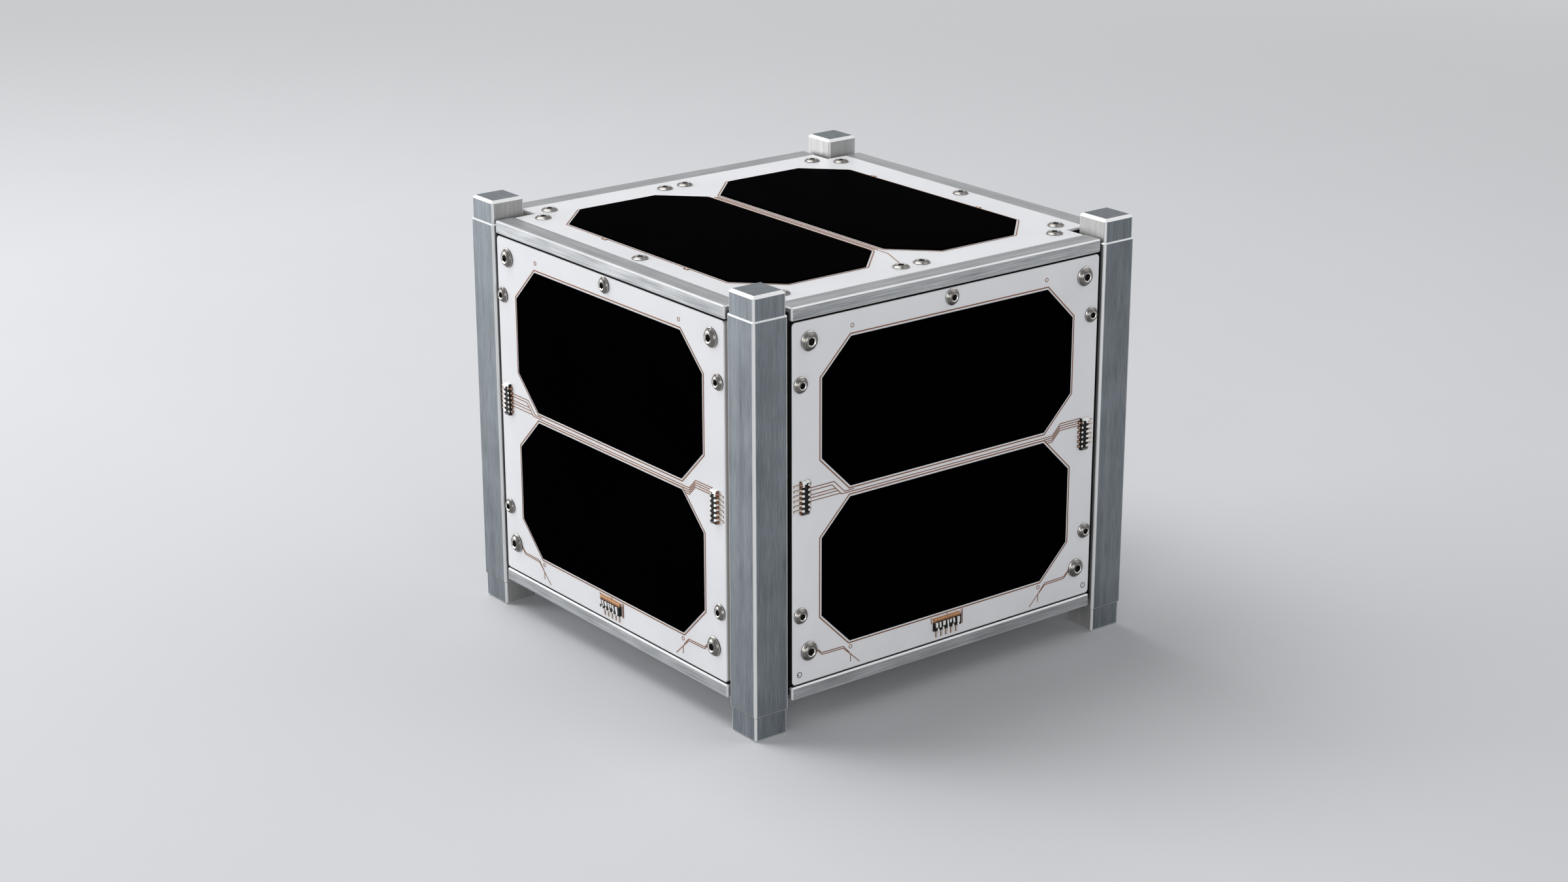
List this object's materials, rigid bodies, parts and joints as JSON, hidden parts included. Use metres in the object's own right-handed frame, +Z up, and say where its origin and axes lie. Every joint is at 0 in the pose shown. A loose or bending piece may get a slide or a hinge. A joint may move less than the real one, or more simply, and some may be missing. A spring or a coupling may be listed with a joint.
{
  "type": "cube satellite",
  "caption": "Small cube-shaped satellite: corner rails with end stubs, cross beams, and white board panels with cut-corner solar cells and small edge headers on every side.",
  "frame": {"origin": "on the floor under the middle of the body, at the underside of the four feet", "axes": "+Z up along the rails, -Y the front side panel, +X the right side panel"},
  "size_m": [0.101, 0.101, 0.0922],
  "materials": {
    "rail_aluminium": "brushed along the rail, bright bevels",
    "beam_aluminium": "brushed along the beam, bright bevels",
    "white_board": "white solder mask on glass fibre board, satin",
    "solar_cell": "black cell under cover glass",
    "header_plastic": "black moulded plastic",
    "contact_gold": "gold plated contact",
    "stack_boards": "plain block",
    "spacer_metal": "turned"
  },
  "bodies": {
    "root": {"beam_bottom_back": "beam_aluminium", "beam_bottom_front": "beam_aluminium", "beam_bottom_left": "beam_aluminium", "beam_bottom_right": "beam_aluminium", "beam_top_back": "beam_aluminium", "beam_top_front": "beam_aluminium", "beam_top_left": "beam_aluminium", "beam_top_right": "beam_aluminium", "cap_back_left": "rail_aluminium", "cap_back_right": "rail_aluminium", "cap_front_left": "rail_aluminium", "cap_front_right": "rail_aluminium", "cell_back_lower": "solar_cell", "cell_back_upper": "solar_cell", "cell_bottom_back": "solar_cell", "cell_bottom_front": "solar_cell", "cell_front_lower": "solar_cell", "cell_front_upper": "solar_cell", "cell_left_lower": "solar_cell", "cell_left_upper": "solar_cell", "cell_right_lower": "solar_cell", "cell_right_upper": "solar_cell", "cell_top_back": "solar_cell", "cell_top_front": "solar_cell", "contacts_back": "contact_gold", "contacts_front": "contact_gold", "contacts_left": "contact_gold", "contacts_right": "contact_gold", "foot_back_left": "rail_aluminium", "foot_back_right": "rail_aluminium", "foot_front_left": "rail_aluminium", "foot_front_right": "rail_aluminium", "header_back_left": "header_plastic", "header_back_low": "header_plastic", "header_back_right": "header_plastic", "header_front_left": "header_plastic", "header_front_low": "header_plastic", "header_front_right": "header_plastic", "header_left_left": "header_plastic", "header_left_low": "header_plastic", "header_left_right": "header_plastic", "header_right_left": "header_plastic", "header_right_low": "header_plastic", "header_right_right": "header_plastic", "inner_stack": "stack_boards", "panel_back": "white_board", "panel_bottom": "white_board", "panel_front": "white_board", "panel_left": "white_board", "panel_right": "white_board", "panel_top": "white_board", "rail_back_left": "rail_aluminium", "rail_back_right": "rail_aluminium", "rail_front_left": "rail_aluminium", "rail_front_right": "rail_aluminium", "spacers_lower": "spacer_metal", "spacers_upper": "spacer_metal"}
  },
  "joints": []
}
